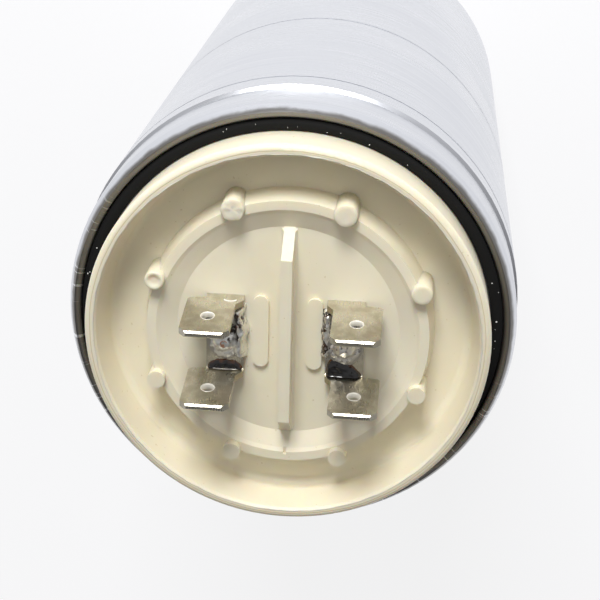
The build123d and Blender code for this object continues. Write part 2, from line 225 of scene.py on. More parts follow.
# ---------------------------------------------------------------- finishes
@dataclass(frozen=True)
class Finish:
    """A plain finish: one colour, one roughness and a fine unevenness."""

    name: str
    colour: str
    roughness: float = 0.5
    metallic: float = 0.0
    ior: Optional[float] = None
    bump: float = 0.0              # height of the unevenness, in millimetres
    grain: float = 0.5             # size of the unevenness, in millimetres
    second: Optional[str] = None   # colour that the pattern drifts towards
    drift: float = 0.3             # how far it drifts
    coat: float = 0.0
    coat_roughness: float = 0.08
    subsurface: float = 0.0
    glow_depth: float = 1.6        # how far light travels inside, in millimetres
    glow_tint: tuple = (1.0, 0.62, 0.22)   # red travels further than blue

    def material(self) -> bpy.types.Material:
        """Builds the material.

        Returns:
            The material, with its pattern on Object coordinates.
        """
        made = bpy.data.materials.new(self.name)
        made.use_nodes = True
        tree = made.node_tree
        tree.nodes.clear()
        shader = add_node(tree, "ShaderNodeBsdfPrincipled", {
            "Base Color": to_linear(self.colour), "Roughness": self.roughness,
            "Metallic": self.metallic})
        if self.ior is not None:
            shader.inputs["IOR"].default_value = self.ior
        if self.coat:
            shader.inputs["Coat Weight"].default_value = self.coat
            shader.inputs["Coat Roughness"].default_value = self.coat_roughness
        if self.subsurface:
            shader.inputs["Subsurface Weight"].default_value = self.subsurface
            shader.inputs["Subsurface Scale"].default_value = self.glow_depth * MM
            shader.inputs["Subsurface Radius"].default_value = self.glow_tint
        add_node(tree, "ShaderNodeOutputMaterial", {"Surface": shader.outputs[0]})
        where = add_node(tree, "ShaderNodeTexCoord").outputs["Object"]
        self.pattern(tree, shader, where)
        return made

    def from_axis(self, tree: bpy.types.NodeTree, where: bpy.types.NodeSocket
                  ) -> tuple[bpy.types.Node, bpy.types.NodeSocket, bpy.types.NodeSocket]:
        """Splits a place into its axes, its distance from the can's axis and its flat part."""
        axes = add_node(tree, "ShaderNodeSeparateXYZ", {0: where})
        flat = add_node(tree, "ShaderNodeCombineXYZ", {0: axes.outputs[0], 1: axes.outputs[1]})
        radius = add_node(tree, "ShaderNodeVectorMath", {0: flat.outputs[0]},
                          operation="LENGTH").outputs["Value"]
        return axes, radius, flat.outputs[0]

    def noise(self, tree: bpy.types.NodeTree, where: bpy.types.NodeSocket, size: float,
              detail: float = 3.0) -> bpy.types.NodeSocket:
        """A noise whose blotches are about size millimetres across."""
        return add_node(tree, "ShaderNodeTexNoise", {
            "Vector": where, "Scale": 1 / (size * MM), "Detail": detail}).outputs["Fac"]

    def between(self, tree: bpy.types.NodeTree, value: bpy.types.NodeSocket, low: float,
                high: float, start: float = 0.0, end: float = 1.0) -> bpy.types.NodeSocket:
        """Maps a value from low..high to start..end along an S curve."""
        return add_node(tree, "ShaderNodeMapRange", {
            "Value": value, "From Min": low, "From Max": high, "To Min": start,
            "To Max": end}, interpolation_type="SMOOTHSTEP").outputs["Result"]

    def blend(self, tree: bpy.types.NodeTree, share: object, first: object,
              second: object) -> bpy.types.NodeSocket:
        """Mixes two colours by a share."""
        node = add_node(tree, "ShaderNodeMix", data_type="RGBA")
        for index, value in ((0, share), (6, first), (7, second)):
            if isinstance(value, bpy.types.NodeSocket):
                tree.links.new(value, node.inputs[index])
            else:
                node.inputs[index].default_value = value
        return node.outputs[2]

    def maths(self, tree: bpy.types.NodeTree, operation: str,
              *values: object) -> bpy.types.NodeSocket:
        """One step of arithmetic on sockets and numbers."""
        return add_node(tree, "ShaderNodeMath", dict(enumerate(values)),
                        operation=operation).outputs[0]

    def raise_by(self, tree: bpy.types.NodeTree, shader: bpy.types.Node,
                 height: bpy.types.NodeSocket, distance: float) -> None:
        """Bumps the surface by a height field whose full range is distance millimetres."""
        bump = add_node(tree, "ShaderNodeBump", {
            "Height": height, "Strength": 1.0, "Distance": distance * MM})
        tree.links.new(bump.outputs[0], shader.inputs["Normal"])

    def pattern(self, tree: bpy.types.NodeTree, shader: bpy.types.Node,
                where: bpy.types.NodeSocket) -> None:
        """Adds the finish's own pattern: here a soft drift of colour and a fine grain."""
        if self.second is not None:
            cloud = self.noise(tree, where, self.grain * 6)
            share = self.between(tree, cloud, 0.35, 0.7, 0.0, self.drift)
            colour = self.blend(tree, share, to_linear(self.colour), to_linear(self.second))
            tree.links.new(colour, shader.inputs["Base Color"])
        if self.bump:
            self.raise_by(tree, shader, self.noise(tree, where, self.grain), self.bump)


@dataclass(frozen=True)
class ExtrudedAluminium(Finish):
    """Impact-extruded aluminium: fine lines, painted shade on the crimp, scratches at its edge."""

    # painted shade and dark reflection on the rolled crimp, laid into its colour
    crimp_painted_shade_colour: str = "#6a6660"
    crimp_radius: float = 29.05
    crimp_height: float = 118.9
    line_pitch: float = 0.3
    line_colour: str = "#b9bcc4"
    line_turns: float = 1.1        # how often a line changes along half a turn
    scratch_colour: str = "#eef0f2"
    scratch_turns: float = 70.0    # how closely scratches follow each other round the lip
    scratch_rate: float = 180.0    # how soon a scratch changes across the lip, per metre
    scratched_above: float = 118.6
    relief: float = 0.004

    def pattern(self, tree: bpy.types.NodeTree, shader: bpy.types.Node,
                where: bpy.types.NodeSocket) -> None:
        """Lines run round the axis: the noise is stretched along the turn and follows
        radius plus height, so they run on over the rolled mouth without a seam."""
        axes, radius, flat = self.from_axis(tree, where)
        around = add_node(tree, "ShaderNodeVectorMath", {0: flat},
                          operation="NORMALIZE").outputs[0]
        turn = add_node(tree, "ShaderNodeSeparateXYZ", {0: around})
        along = self.maths(tree, "ADD", radius, axes.outputs[2])
        lines_at = add_node(tree, "ShaderNodeCombineXYZ", {
            0: self.maths(tree, "MULTIPLY", turn.outputs[0], self.line_turns),
            1: self.maths(tree, "MULTIPLY", turn.outputs[1], self.line_turns),
            2: self.maths(tree, "MULTIPLY", along, 1 / (self.line_pitch * MM))})
        lines = add_node(tree, "ShaderNodeTexNoise", {
            "Vector": lines_at.outputs[0], "Scale": 1.0, "Detail": 4.0}).outputs["Fac"]
        cloud = self.noise(tree, where, 14.0)
        ragged = self.maths(tree, "ADD", radius,
                            self.between(tree, self.noise(tree, where, 2.5), 0.3, 0.7,
                                         -0.08 * MM, 0.08 * MM))
        # where the painted shade goes: inside crimp_radius and above crimp_height, with a ragged
        # edge
        painted_shade_on_lip = self.maths(
            tree, "MULTIPLY",
            self.between(tree, ragged, (self.crimp_radius + 0.25) * MM,
                         (self.crimp_radius - 0.2) * MM),
            self.between(tree, axes.outputs[2], (self.crimp_height - 0.3) * MM,
                         (self.crimp_height + 0.3) * MM))
        marks_at = add_node(tree, "ShaderNodeCombineXYZ", {
            0: self.maths(tree, "MULTIPLY", turn.outputs[0], self.scratch_turns),
            1: self.maths(tree, "MULTIPLY", turn.outputs[1], self.scratch_turns),
            2: self.maths(tree, "MULTIPLY", radius, self.scratch_rate)})
        marks = add_node(tree, "ShaderNodeTexNoise", {
            "Vector": marks_at.outputs[0], "Scale": 1.0, "Detail": 2.0}).outputs["Fac"]
        worn = self.between(tree, marks, 0.6, 0.68)
        near_edge = self.between(tree, axes.outputs[2], self.scratched_above * MM,
                                 (self.scratched_above + 0.6) * MM)
        left = self.between(tree, turn.outputs[0], -0.75, -0.95)
        front_right = self.between(tree, self.maths(
            tree, "SUBTRACT", turn.outputs[0], turn.outputs[1]), 1.15, 1.35)
        where_worn = self.maths(tree, "MAXIMUM", left, front_right)
        burr = self.maths(tree, "MULTIPLY", self.maths(tree, "MULTIPLY", worn, near_edge),
                          where_worn)
        body = self.blend(tree, self.between(tree, lines, 0.3, 0.75, 0.0, 0.22),
                          to_linear(self.colour), to_linear(self.line_colour))
        # painted shade: the body colour is darkened towards the crimp's shaded colour on the lip
        crimp_shaded_mix = self.blend(tree, self.maths(tree, "MULTIPLY", painted_shade_on_lip, 0.85), body,
                          to_linear(self.crimp_painted_shade_colour))
        bright = self.blend(tree, self.maths(tree, "MULTIPLY", burr, 0.75), crimp_shaded_mix,
                            to_linear(self.scratch_colour))
        tree.links.new(bright, shader.inputs["Base Color"])
        rough = self.between(tree, self.maths(tree, "ADD", lines, cloud), 0.7, 1.4,
                             self.roughness - 0.06, self.roughness + 0.12)
        tree.links.new(rough, shader.inputs["Roughness"])
        height = self.maths(tree, "ADD", self.maths(tree, "MULTIPLY", lines, 0.6),
                            self.maths(tree, "MULTIPLY", burr, 2.0))
        self.raise_by(tree, shader, height, self.relief)


@dataclass(frozen=True)
class MouldedCap(Finish):
    """Moulded cream plastic: faint shrink marks, a painted-shade step line round the rim's front.
    """

    line_radius: float = 25.35
    # the step line's tan is painted shade of a small step; the height field also dents it
    line_colour: str = "#c9b98c"
    soil: str = "#cdbd92"
    line_wander: float = 0.06
    line_low: float = 124.6        # the line is only above this height, in millimetres
    line_high: float = 125.0

    def pattern(self, tree: bpy.types.NodeTree, shader: bpy.types.Node,
                where: bpy.types.NodeSocket) -> None:
        """A thin ring of painted shade by distance from the axis, on the rim's front, over soft
        clouds.
        """
        axes, radius, _ = self.from_axis(tree, where)
        wander = self.between(tree, self.noise(tree, where, 9.0), 0.3, 0.7,
                              -self.line_wander * MM, self.line_wander * MM)
        offset = self.maths(tree, "ABSOLUTE", self.maths(
            tree, "SUBTRACT", self.maths(tree, "ADD", radius, wander),
            self.line_radius * MM))
        ring = self.maths(tree, "MULTIPLY",
                          self.between(tree, offset, 0.09 * MM, 0.02 * MM),
                          self.between(tree, axes.outputs[2], self.line_low * MM,
                                       self.line_high * MM))
        cloud = self.between(tree, self.noise(tree, where, 7.0), 0.4, 0.75, 0.0, 0.35)
        base = self.blend(tree, cloud, to_linear(self.colour), to_linear(self.second))
        specks = self.between(tree, self.noise(tree, where, 0.55, 1.0), 0.74, 0.8, 0.0, 0.5)
        soiled = self.blend(tree, specks, base, to_linear(self.soil))
        # painted shade: the step line is tinted tan over the cap's colour
        step_shaded = self.blend(tree, self.maths(tree, "MULTIPLY", ring, 0.6), soiled,
                           to_linear(self.line_colour))
        tree.links.new(step_shaded, shader.inputs["Base Color"])
        fine = self.noise(tree, where, self.grain)
        slow = self.noise(tree, where, 3.0)
        height = self.maths(tree, "SUBTRACT",
                            self.maths(tree, "ADD", self.maths(tree, "MULTIPLY", fine, 0.2),
                                       slow), ring)
        self.raise_by(tree, shader, height, self.bump)


@dataclass(frozen=True)
class TinnedStrip(Finish):
    """Tin-plated stamping: cloudy satin tin, fine rolling lines, a few fingerprints."""

    scuff_colour: str = "#f1efe6"
    stretch: tuple = (9.0, 1.0, 0.8)

    def pattern(self, tree: bpy.types.NodeTree, shader: bpy.types.Node,
                where: bpy.types.NodeSocket) -> None:
        """Rolling lines are a noise stretched along the strip; clouds change the gloss."""
        stretched = add_node(tree, "ShaderNodeVectorMath",
                             {0: where, 1: self.stretch}, operation="MULTIPLY").outputs[0]
        lines = self.noise(tree, stretched, 0.9, 4.0)
        cloud = self.noise(tree, where, 1.6, 4.0)
        share = self.between(tree, cloud, 0.38, 0.66, 0.0, self.drift)
        colour = self.blend(tree, share, to_linear(self.colour), to_linear(self.second))
        scuffs = self.between(tree, self.noise(tree, stretched, 0.35, 1.0), 0.68, 0.74, 0.0, 0.6)
        tree.links.new(self.blend(tree, scuffs, colour, to_linear(self.scuff_colour)),
                       shader.inputs["Base Color"])
        rough = self.between(tree, self.maths(tree, "ADD", lines, cloud), 0.7, 1.35,
                             self.roughness - 0.1, self.roughness + 0.12)
        tree.links.new(rough, shader.inputs["Roughness"])
        self.raise_by(tree, shader, self.maths(tree, "ADD", lines, cloud), self.bump)


@dataclass(frozen=True)
class BurntSolder(Finish):
    """Bright solder with flux burnt brown and black along its outer side."""

    burnt_from: float = -6.3       # x where the burn begins, in millimetres
    burnt_to: float = -6.9         # x where it is complete
    burnt_past: float = -7.7       # x where it has faded out again
    burnt_below: float = -1.2      # y below which the run stays bright
    amount: float = 0.6            # how dark the loose spots get
    brown: str = "#3a2413"
    black: str = "#0e0a07"

    def pattern(self, tree: bpy.types.NodeTree, shader: bpy.types.Node,
                where: bpy.types.NodeSocket) -> None:
        """The burn follows x, broken up by two noises; it is brown at its edge."""
        axes = add_node(tree, "ShaderNodeSeparateXYZ", {0: where})
        patches = self.noise(tree, where, 1.1, 4.0)
        shifted = self.maths(tree, "ADD", axes.outputs[0],
                             self.between(tree, patches, 0.3, 0.7, -0.8 * MM, 0.8 * MM))
        burn = self.between(tree, shifted, self.burnt_from * MM, self.burnt_to * MM)
        fades = self.maths(
            tree, "MULTIPLY",
            self.between(tree, shifted, self.burnt_past * MM,
                         (self.burnt_past + self.burnt_to) / 2 * MM),
            self.between(tree, axes.outputs[1], (self.burnt_below - 0.5) * MM,
                         (self.burnt_below + 0.5) * MM))
        burn = self.maths(tree, "MULTIPLY", burn, fades)
        spots = self.between(tree, self.noise(tree, where, 0.5, 3.0), 0.56, 0.66)
        burn = self.maths(tree, "MAXIMUM", burn, self.maths(tree, "MULTIPLY", spots,
                                                            self.amount))
        dark = self.blend(tree, self.between(tree, self.noise(tree, where, 0.7), 0.4, 0.62),
                          to_linear(self.brown), to_linear(self.black))
        tree.links.new(self.blend(tree, burn, to_linear(self.colour), dark),
                       shader.inputs["Base Color"])
        tree.links.new(self.between(tree, burn, 0.2, 0.8, 0.85, 0.0), shader.inputs["Metallic"])
        tree.links.new(self.between(tree, burn, 0.0, 1.0, self.roughness, 0.3),
                       shader.inputs["Roughness"])
        self.raise_by(tree, shader, self.noise(tree, where, self.grain), self.bump)


@dataclass(frozen=True)
class BurntFlux(Finish):
    """Glassy burnt flux: black where it is thick, brown where its edge thins out."""

    edge_colour: str = "#5a3313"
    edge_low: float = 122.95       # height where it is all brown, in millimetres
    edge_high: float = 123.2       # height where it is all black

    def pattern(self, tree: bpy.types.NodeTree, shader: bpy.types.Node,
                where: bpy.types.NodeSocket) -> None:
        """Thickness is read off the height above the strip, with a ragged edge."""
        axes = add_node(tree, "ShaderNodeSeparateXYZ", {0: where})
        uneven = self.between(tree, self.noise(tree, where, 0.8), 0.3, 0.7, -0.1 * MM, 0.1 * MM)
        thick = self.between(tree, self.maths(tree, "ADD", axes.outputs[2], uneven),
                             self.edge_low * MM, self.edge_high * MM)
        tree.links.new(self.blend(tree, thick, to_linear(self.edge_colour),
                                  to_linear(self.colour)), shader.inputs["Base Color"])
        self.raise_by(tree, shader, self.noise(tree, where, self.grain), self.bump)


class Finishes:
    """Every finish of the capacitor, built once each."""

    def __init__(self) -> None:
        """Builds the materials."""
        rows = {
            # drawn aluminium skin: bright, a little blue, lines round the can
            "impact_extruded_aluminium": ExtrudedAluminium(
                "impact_extruded_aluminium", "#dcdee3", 0.3, 1.0),
            # dull black rubber: keeps the gap round the cap dark
            "rubber_seal": Finish("rubber_seal", "#050505", 0.8, ior=1.4, bump=0.01, grain=0.4),
            # cream thermoplastic: soft, slightly waxy
            "moulded_cap_plastic": MouldedCap(
                "moulded_cap_plastic", "#f0e8d0", 0.42, bump=0.02, grain=0.25,
                second="#e9dfc2", subsurface=0.35),
            # tin over brass: satin grey with a warm cast
            "tinned_brass": TinnedStrip("tinned_brass", "#d0cbbc", 0.34, 1.0, bump=0.003,
                                        second="#ada590", drift=0.6),
            # plated rivet flange under the solder
            "plated_rivet": Finish("plated_rivet", "#bfbab0", 0.35, 1.0, bump=0.004),
            # bright tin-lead fillet with burnt flux beside it
            "solder": BurntSolder("solder", "#ecebe6", 0.3, 1.0, bump=0.09, grain=0.7,
                                  burnt_from=-6.1, burnt_to=-6.5, amount=0.3),
            # copper core showing at the cut end
            "tinned_copper": Finish("tinned_copper", "#dba78e", 0.35, 1.0, bump=0.004),
            # inside pieces, plain
            "lead_sleeving": Finish("lead_sleeving", "#d9d4c4", 0.5),
            "metallised_film": Finish("metallised_film", "#a9adb2", 0.3, 0.7),
            "zinc_spray": Finish("zinc_spray", "#8d9094", 0.7, 0.6, bump=0.05, grain=0.4),
            "winding_core": Finish("winding_core", "#e4e1d8", 0.5),
            "clear_wrap": Finish("clear_wrap", "#dcdcd2", 0.3),
            "insulating_cup": Finish("insulating_cup", "#e8e6df", 0.5),
            "potting_resin": Finish("potting_resin", "#4a3a24", 0.35),
            "insulating_board": Finish("insulating_board", "#b59a6a", 0.7),
        }
        self.made = {name: finish.material() for name, finish in rows.items()}
        self.made["solder_right"] = BurntSolder(
            "solder_right", "#e2dfd8", 0.32, 1.0, bump=0.08, grain=0.45, burnt_from=5.2,
            burnt_to=5.0, burnt_past=4.2, burnt_below=-3.6, amount=0.7).material()
        self.made["burnt_flux"] = BurntFlux("burnt_flux", "#0b0705", 0.12, bump=0.03,
                                            grain=0.6, coat=0.5).material()
        # near white: a sheared edge's own pale tone plus painted highlight, so holes and the neck
        # dent look bright
        self.made["sheared_edge_highlight"] = Finish("sheared_edge_highlight", "#fbf8ee", 0.55, 0.35).material()
        self.made["lint"] = Finish("lint", "#f2f2f0", 0.9).material()

    def __getitem__(self, name: str) -> bpy.types.Material:
        """The material of that name."""
        return self.made[name]


# ---------------------------------------------------------------- building forms
@dataclass
class Lump:
    """A lump lying on a flat face: a grid of heights over a rectangle, closed below."""

    name: str
    x_range: tuple[float, float]
    y_range: tuple[float, float]
    base: float
    height: Callable[[np.ndarray, np.ndarray], np.ndarray]
    step: float = 0.07
    buried: float = 0.12

    def build(self) -> bpy.types.Object:
        """Builds the lump. Where the height is nothing, the surface stays just under the face.

        Returns:
            The object.
        """
        columns = max(4, int((self.x_range[1] - self.x_range[0]) / self.step))
        rows = max(4, int((self.y_range[1] - self.y_range[0]) / self.step))
        x, y = np.meshgrid(np.linspace(*self.x_range, columns),
                           np.linspace(*self.y_range, rows), indexing="ij")
        z = self.base + self.height(x, y) - self.buried
        z[[0, -1], :] = self.base - self.buried
        z[:, [0, -1]] = self.base - self.buried
        top = np.stack([x, y, z], -1).reshape(-1, 3)
        index = np.arange(columns * rows).reshape(columns, rows)
        quads = np.stack([index[:-1, :-1], index[1:, :-1], index[1:, 1:], index[:-1, 1:]],
                         -1).reshape(-1, 4)
        loop = np.concatenate([index[:, 0], index[-1, 1:], index[-2::-1, -1],
                               index[0, -2:0:-1]])
        low = top[loop].copy()
        low[:, 2] -= self.buried
        under = np.arange(len(loop)) + len(top)
        after = np.roll(np.arange(len(loop)), -1)
        sides = np.stack([loop, under, under[after], loop[after]], -1)
        faces = quads.tolist() + sides.tolist() + [under[::-1].tolist()]
        return mesh_object(self.name, np.concatenate([top, low]), faces)


@dataclass
class Turned:
    """A form turned about an upright axis, closed at both ends, with an uneven skin."""

    name: str
    centre: tuple[float, float]
    profile: list[tuple[float, float]]   # radius and height, from the foot to the top
    segments: int = 40
    wobble: float = 0.0
    seed: int = 1

    def build(self) -> bpy.types.Object:
        """Builds the form.

        Returns:
            The object.
        """
        outline = np.array(self.profile, float)
        turn = np.linspace(0, 2 * math.pi, self.segments, endpoint=False)
        radius, angle = np.meshgrid(outline[:, 0], turn, indexing="ij")
        height = np.repeat(outline[:, 1:], self.segments, 1)
        uneven = ripple(np.cos(angle) * 2, np.sin(angle) * 2 + height, self.seed, 3.0)
        radius = radius * (1 + self.wobble * uneven)
        height = height + self.wobble * ripple(np.cos(angle) * radius, np.sin(angle) * radius,
                                               self.seed + 9, 1.4)
        points = np.stack([self.centre[0] + radius * np.cos(angle),
                           self.centre[1] + radius * np.sin(angle), height], -1)
        count = len(outline)
        index = np.arange(count * self.segments).reshape(count, self.segments)
        after = np.roll(index, -1, axis=1)
        quads = np.stack([index[:-1], after[:-1], after[1:], index[1:]], -1).reshape(-1, 4)
        ends = np.array([[*self.centre, height[0].mean()], [*self.centre, height[-1].mean()]])
        foot, tip = count * self.segments, count * self.segments + 1
        fans = [[foot, int(b), int(a)] for a, b in zip(index[0], after[0])]
        fans += [[tip, int(a), int(b)] for a, b in zip(index[-1], after[-1])]
        return mesh_object(self.name, np.concatenate([points.reshape(-1, 3), ends]),
                           quads.tolist() + fans)


@dataclass
class Bead:
    """A closed bead that runs round the axis, such as mould flash."""

    name: str
    radius: float
    height: float
    thickness: float
    seed: int
    segments: int = 900
    sides: int = 10

    def build(self) -> bpy.types.Object:
        """Builds the bead as a ring tube whose size and path wander a little.

        Returns:
            The object.
        """
        turn = np.linspace(0, 2 * math.pi, self.segments, endpoint=False)
        around = np.linspace(0, 2 * math.pi, self.sides, endpoint=False)
        angle, lap = np.meshgrid(turn, around, indexing="ij")
        at_x, at_y = self.radius * np.cos(angle), self.radius * np.sin(angle)
        size = self.thickness * (0.65 + 0.35 * ripple(at_x, at_y, self.seed, 5.0))
        path = self.radius + 0.06 * ripple(at_x, at_y, self.seed + 1, 4.0)
        reach = path + size * np.cos(lap)
        points = np.stack([reach * np.cos(angle), reach * np.sin(angle),
                           self.height + size * np.sin(lap)], -1)
        index = np.arange(self.segments * self.sides).reshape(self.segments, self.sides)
        ahead, over = np.roll(index, -1, axis=0), np.roll(index, -1, axis=1)
        both = np.roll(ahead, -1, axis=1)
        quads = np.stack([index, ahead, both, over], -1).reshape(-1, 4)
        return mesh_object(self.name, points.reshape(-1, 3), quads.tolist())


@dataclass
class Grains:
    """Many small grains as one piece, each a squashed ball."""

    name: str
    places: np.ndarray             # centre of each grain, in millimetres
    sizes: np.ndarray              # half sizes of each grain, in millimetres

    def build(self) -> bpy.types.Object:
        """Builds the grains.

        Returns:
            The object.
        """
        lap = np.linspace(0, math.pi, 6)[1:-1]
        turn = np.linspace(0, 2 * math.pi, 8, endpoint=False)
        tilt, angle = np.meshgrid(lap, turn, indexing="ij")
        shell = np.stack([np.sin(tilt) * np.cos(angle), np.sin(tilt) * np.sin(angle),
                          np.cos(tilt)], -1).reshape(-1, 3)
        ball = np.concatenate([shell, [[0, 0, 1], [0, 0, -1]]])
        index = np.arange(len(shell)).reshape(len(lap), len(turn))
        after = np.roll(index, -1, axis=1)
        quads = np.stack([index[:-1], index[1:], after[1:], after[:-1]], -1).reshape(-1, 4)
        crown = [[len(shell), int(a), int(b)] for a, b in zip(index[0], after[0])]
        foot = [[len(shell) + 1, int(b), int(a)] for a, b in zip(index[-1], after[-1])]
        points = (self.places[:, None] + ball[None] * self.sizes[:, None]).reshape(-1, 3)
        faces = []
        for number in range(len(self.places)):
            shift = number * len(ball)
            for face in quads.tolist() + crown + foot:
                faces.append([corner + shift for corner in face])
        return mesh_object(self.name, points, faces)


# ---------------------------------------------------------------- sub-assemblies
@dataclass
class Part:
    """A sub-assembly: builds its added pieces and gives each its finish."""

    sizes: Sizes
    finishes: Finishes
    pieces: list = field(default_factory=list)

    def add(self, piece: bpy.types.Object, finish: str, slot: str) -> bpy.types.Object:
        """Dresses one added piece.

        Args:
            piece: The piece.
            finish: Name of its finish.
            slot: Not used.

        Returns:
            The piece.
        """
        piece.data.materials.append(self.finishes[finish])
        self.pieces.append(piece)
        return piece

    def build(self) -> None:
        """Builds the added pieces."""
        raise NotImplementedError


@dataclass
class Frame:
    """The CAD nodes, which keep their shape and get their finish here."""

    nodes: dict
    finishes: Finishes
    slots: dict = field(default_factory=lambda: {
        "can": "impact_extruded_aluminium", "gasket_ring": "rubber_seal",
        "terminal_cap": "moulded_cap_plastic", "left_terminal": "tinned_brass",
        "right_terminal": "tinned_brass", "left_rivet": "plated_rivet",
        "right_rivet": "plated_rivet", "left_solder": "solder", "right_solder": "solder",
        "left_lead_wire": "tinned_copper", "right_lead_wire": "tinned_copper",
        "left_lead_sleeve": "lead_sleeving", "right_lead_sleeve": "lead_sleeving",
        "upper_lead_joint": "solder", "lower_lead_joint": "solder",
        "winding_element": "metallised_film", "upper_end_spray": "zinc_spray",
        "lower_end_spray": "zinc_spray", "core_tube": "winding_core",
        "winding_wrap": "clear_wrap", "base_cup": "insulating_cup",
        "resin_fill": "potting_resin", "top_disc": "insulating_board"})

    def dress(self) -> None:
        """Gives every node its finish."""
        for name, node in self.nodes.items():
            node.data.materials.clear()
            node.data.materials.append(self.finishes[self.slots[name]])


@dataclass(frozen=True)
class OddPost:
    """A post whose tip differs from the plain ones."""

    name: str
    degrees: float
    radius: float
    wobble: float
    seed: int


@dataclass
class CapDetails(Part):
    """Mould flash on the rim's inner edge and the uneven tips of the posts."""

    flash_out: float = 0.28        # from the rim's inner radius to the flash
    flash_sunk: float = 0.03
    flash_thickness: float = 0.09
    foot_sunk: float = 0.2         # how far a post reaches into the trough's floor
    odd_posts: tuple = (OddPost("broken_post", 112.5, 1.5, 0.07, 3),
                        OddPost("thick_post", 67.5, 1.5, 0.015, 5),
                        OddPost("right_post", 22.5, 1.36, 0.01, 6))
    hollow_post: OddPost = OddPost("hollow_post", 157.5, 1.3, 0.01, 8)

    def post(self, odd: OddPost, profile: list[tuple[float, float]]) -> None:
        """Builds one post from its profile.

        Args:
            odd: Which post.
            profile: Radius and height, from the foot to the top.
        """
        self.add(Turned(odd.name, self.sizes.post_centre(odd.degrees), profile,
                        wobble=odd.wobble, seed=odd.seed).build(),
                 "moulded_cap_plastic", "moulded_cap_plastic")

    def build(self) -> None:
        """Builds the flash and the odd posts."""
        rim = self.sizes.rim_front
        self.add(Bead("rim_flash", self.sizes.rim_inner + self.flash_out, rim - self.flash_sunk,
                      self.flash_thickness, 4).build(),
                 "moulded_cap_plastic", "moulded_cap_plastic")
        foot = rim - self.sizes.trough_depth - self.foot_sunk
        tip = rim - self.sizes.post_below_rim
        for odd in self.odd_posts:
            radius = odd.radius
            self.post(odd, [(radius + 0.06, foot), (radius, tip - 0.15),
                            (radius - 0.06, tip - 0.05), (radius - 0.16, tip + 0.02),
                            (radius * 0.6, tip + 0.03), (radius * 0.25, tip + 0.02)])
        self.post(self.hollow_post, [
            (self.hollow_post.radius, foot), (1.27, tip + 0.1), (1.2, tip + 0.24),
            (1.05, tip + 0.3), (0.8, tip + 0.26), (0.6, tip + 0.06), (0.3, tip + 0.03)])


